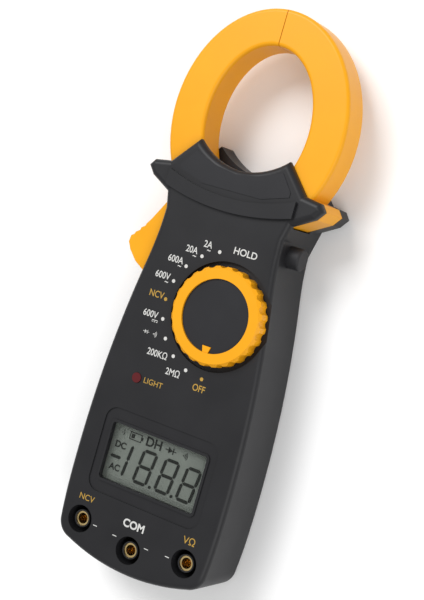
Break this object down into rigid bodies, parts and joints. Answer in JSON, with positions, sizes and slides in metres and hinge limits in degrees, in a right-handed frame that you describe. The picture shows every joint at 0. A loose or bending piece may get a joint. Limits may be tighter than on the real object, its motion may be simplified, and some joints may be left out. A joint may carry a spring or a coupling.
{
  "type": "clamp meter",
  "caption": "Hand-held clamp meter with hinged sensing jaws, rotary range dial, display, hold key and shrouded test-lead sockets.",
  "frame": {"origin": "on the flat back face, on the centreline, level with the dial axis", "axes": "+Y towards the jaws, +Z out of the display, +X to the right of a reader"},
  "size_m": [0.0763, 0.2179, 0.032],
  "materials": {
    "charcoal_case": "satin textured",
    "yellow_plastic": "satin textured",
    "charcoal_knob": "satin",
    "white_plastic": "satin",
    "clear_plastic": "clear",
    "lcd_grey": "glossy",
    "rubber_key": "matt",
    "black_rubber": "matt",
    "brass": "turned",
    "steel": "bright zinc",
    "core_steel": "laminated",
    "copper_winding": "enamelled wire",
    "circuit_board": "solder mask",
    "black_component": "moulded",
    "blue_component": "sleeved",
    "red_led": "translucent",
    "cell_jacket": "printed film"
  },
  "bodies": {
    "case": {"front_case": "charcoal_case", "back_case": "charcoal_case", "fixed_jaw_front": "yellow_plastic", "fixed_jaw_back": "yellow_plastic", "lcd_frame": "white_plastic", "dial_contacts": "brass", "fixed_core": "core_steel", "fixed_coil": "copper_winding", "jaw_pin": "steel", "jaw_spring": "steel", "board_screws": "steel", "case_screws": "steel", "crystal": "steel", "battery_contacts": "steel", "main_board": "circuit_board", "lcd_window": "clear_plastic", "lcd_glass": "lcd_grey", "zebra_strips": "black_rubber", "controller_chip": "black_component", "buzzer": "black_component", "hold_switch": "black_component", "capacitors": "blue_component", "trimmer": "blue_component", "thermistor": "black_component", "status_led": "red_led", "left_socket": "brass", "com_socket": "brass", "right_socket": "brass", "battery_cells": "cell_jacket"},
    "moving_jaw": {"moving_jaw_front": "yellow_plastic", "moving_jaw_back": "yellow_plastic", "moving_core": "core_steel", "moving_coil": "copper_winding"},
    "dial": {"knob_ring": "yellow_plastic", "knob_cap": "charcoal_knob", "dial_rotor": "white_plastic", "dial_wipers": "brass"},
    "hold_button": {"hold_key": "rubber_key"},
    "battery_cover": {"battery_door": "charcoal_case", "door_screw": "steel"}
  },
  "joints": [
    {"name": "jaw_hinge", "type": "hinge", "parent": "case", "child": "moving_jaw", "pos_m": [-0.0195, 0.043, 0.0171], "axis": [0, 0, 1], "range_deg": [0, 24], "stiffness_Nm_per_rad": 0.6, "springref_deg": -8.59},
    {"name": "dial_turn", "type": "hinge", "parent": "case", "child": "dial", "pos_m": [0.0098, 0, 0.026], "axis": [0, 0, 1], "range_deg": [-162, 0]},
    {"name": "hold_press", "type": "slide", "parent": "case", "child": "hold_button", "axis": [-1, 0, 0], "range_m": [0, 0.0015], "stiffness_N_per_m": 800, "springref_m": -0.0005},
    {"name": "battery_cover_lift", "type": "slide", "parent": "case", "child": "battery_cover", "axis": [0, 0, -1], "range_m": [0, 0.012]}
  ]
}
